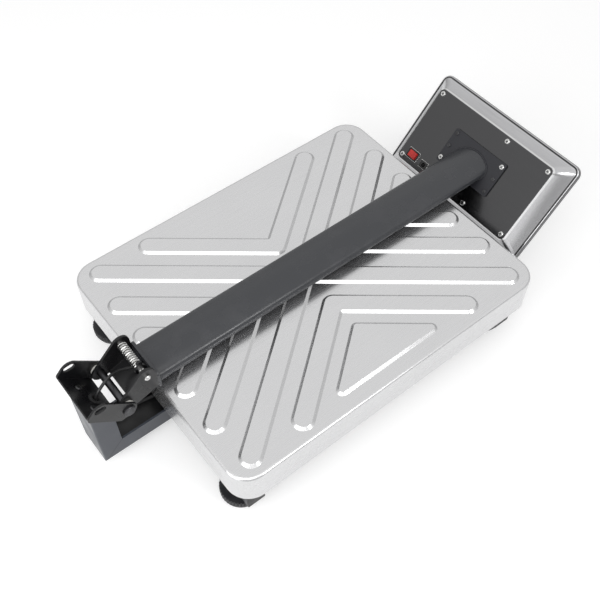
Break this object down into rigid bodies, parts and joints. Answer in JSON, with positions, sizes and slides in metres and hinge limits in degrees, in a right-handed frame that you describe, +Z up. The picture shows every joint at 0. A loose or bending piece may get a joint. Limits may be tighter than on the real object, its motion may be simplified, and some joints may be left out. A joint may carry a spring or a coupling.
{
  "type": "folding platform scale",
  "caption": "Platform scale with an embossed steel pan; its column, hinged on a bracket, folds down over the pan with the display head.",
  "frame": {"origin": "middle of the footprint, on the floor under the levelling feet", "axes": "+X along the folded column from the hinge to the display head, +Z up, Y across the pan"},
  "size_m": [0.7389, 0.4, 0.1716],
  "materials": {
    "painted_tube": "satin dark grey",
    "black_plastic": "matt",
    "bracket_steel": "satin dark blue-grey",
    "zinc": "zinc plated",
    "black_steel": "satin black",
    "dark_screw": "blackened",
    "nylon": "matt",
    "aluminium": "machined",
    "rubber": "matt",
    "stainless_pan": "brushed",
    "stainless_shell": "brushed",
    "bezel": "fine texture",
    "window": "clear tinted",
    "lcd": "gloss",
    "board": "matt",
    "brass": "plain",
    "battery": "matt",
    "red_plastic": "gloss",
    "key_plastic": "matt"
  },
  "bodies": {
    "base": {"base_cross_tubes": "painted_tube", "base_rails": "painted_tube", "cell_plate": "painted_tube", "tube_end_caps": "black_plastic", "base_bracket": "bracket_steel", "bracket_bolts": "zinc", "hinge_bracket": "black_steel", "hinge_screws": "dark_screw", "pivot_pin": "dark_screw", "pivot_clip": "zinc", "pivot_washers": "nylon", "load_cell": "aluminium", "cell_spacers": "aluminium", "cell_bolts": "zinc", "foot_nuts": "zinc", "overload_stops": "zinc", "cable_grommet": "rubber", "carrier_long_tubes": "painted_tube", "carrier_cross_tubes": "painted_tube", "carrier_plate": "painted_tube", "pan_pads": "rubber", "weighing_pan": "stainless_pan"},
    "column": {"column_tube": "painted_tube", "column_end_plate": "painted_tube", "column_foot": "black_steel", "head_mount_plate": "painted_tube", "head_backing_plate": "zinc", "mount_screws": "zinc", "mount_bolts": "dark_screw", "head_rear_shell": "stainless_shell", "shell_screws": "dark_screw", "front_bezel": "bezel", "display_window": "window", "lcd_module": "lcd", "circuit_board": "board", "board_posts": "brass", "battery": "battery", "keypad_mat": "rubber", "rocker_housing": "black_plastic", "dc_socket": "black_plastic", "signal_cable": "rubber", "lock_spring": "zinc"},
    "lock_pin": {"lock_pin": "zinc", "lock_collar": "black_steel"},
    "rocker": {"rocker": "red_plastic"},
    "levelling_foot_1": {"levelling_foot_1": "black_plastic"},
    "levelling_foot_2": {"levelling_foot_2": "black_plastic"},
    "levelling_foot_3": {"levelling_foot_3": "black_plastic"},
    "levelling_foot_4": {"levelling_foot_4": "black_plastic"},
    "key_1": {"key_1": "key_plastic"},
    "key_2": {"key_2": "key_plastic"},
    "key_3": {"key_3": "key_plastic"},
    "key_4": {"key_4": "key_plastic"},
    "key_5": {"key_5": "key_plastic"},
    "key_6": {"key_6": "key_plastic"},
    "key_7": {"key_7": "key_plastic"},
    "key_8": {"key_8": "key_plastic"},
    "key_9": {"key_9": "key_plastic"},
    "key_10": {"key_10": "key_plastic"}
  },
  "joints": [
    {"name": "column_fold", "type": "hinge", "parent": "base", "child": "column", "pos_m": [-0.31899, 0, 0.11913], "axis": [0, -1, 0], "range_deg": [0, 90], "deforming": ["signal_cable"]},
    {"name": "lock_slide", "type": "slide", "parent": "column", "child": "lock_pin", "axis": [0, 1, 0], "range_m": [-0.0055, 0], "deforming": ["lock_spring"]},
    {"name": "rocker_tilt", "type": "hinge", "parent": "column", "child": "rocker", "pos_m": [0.26082, 0.088, 0.09296], "axis": [-0.6691, 0, -0.7431], "range_deg": [-18, 0]},
    {"name": "foot_1_adjust", "type": "slide", "parent": "base", "child": "levelling_foot_1", "axis": [0, 0, 1], "range_m": [-0.012, 0]},
    {"name": "foot_2_adjust", "type": "slide", "parent": "base", "child": "levelling_foot_2", "axis": [0, 0, 1], "range_m": [-0.012, 0]},
    {"name": "foot_3_adjust", "type": "slide", "parent": "base", "child": "levelling_foot_3", "axis": [0, 0, 1], "range_m": [-0.012, 0]},
    {"name": "foot_4_adjust", "type": "slide", "parent": "base", "child": "levelling_foot_4", "axis": [0, 0, 1], "range_m": [-0.012, 0]},
    {"name": "key_1_press", "type": "slide", "parent": "column", "child": "key_1", "axis": [-0.7431, 0, 0.6691], "range_m": [0, 0.0012], "stiffness_N_per_m": 900, "springref_m": -0.0003},
    {"name": "key_2_press", "type": "slide", "parent": "column", "child": "key_2", "axis": [-0.7431, 0, 0.6691], "range_m": [0, 0.0012], "stiffness_N_per_m": 900, "springref_m": -0.0003},
    {"name": "key_3_press", "type": "slide", "parent": "column", "child": "key_3", "axis": [-0.7431, 0, 0.6691], "range_m": [0, 0.0012], "stiffness_N_per_m": 900, "springref_m": -0.0003},
    {"name": "key_4_press", "type": "slide", "parent": "column", "child": "key_4", "axis": [-0.7431, 0, 0.6691], "range_m": [0, 0.0012], "stiffness_N_per_m": 900, "springref_m": -0.0003},
    {"name": "key_5_press", "type": "slide", "parent": "column", "child": "key_5", "axis": [-0.7431, 0, 0.6691], "range_m": [0, 0.0012], "stiffness_N_per_m": 900, "springref_m": -0.0003},
    {"name": "key_6_press", "type": "slide", "parent": "column", "child": "key_6", "axis": [-0.7431, 0, 0.6691], "range_m": [0, 0.0012], "stiffness_N_per_m": 900, "springref_m": -0.0003},
    {"name": "key_7_press", "type": "slide", "parent": "column", "child": "key_7", "axis": [-0.7431, 0, 0.6691], "range_m": [0, 0.0012], "stiffness_N_per_m": 900, "springref_m": -0.0003},
    {"name": "key_8_press", "type": "slide", "parent": "column", "child": "key_8", "axis": [-0.7431, 0, 0.6691], "range_m": [0, 0.0012], "stiffness_N_per_m": 900, "springref_m": -0.0003},
    {"name": "key_9_press", "type": "slide", "parent": "column", "child": "key_9", "axis": [-0.7431, 0, 0.6691], "range_m": [0, 0.0012], "stiffness_N_per_m": 900, "springref_m": -0.0003},
    {"name": "key_10_press", "type": "slide", "parent": "column", "child": "key_10", "axis": [-0.7431, 0, 0.6691], "range_m": [0, 0.0012], "stiffness_N_per_m": 900, "springref_m": -0.0003}
  ]
}
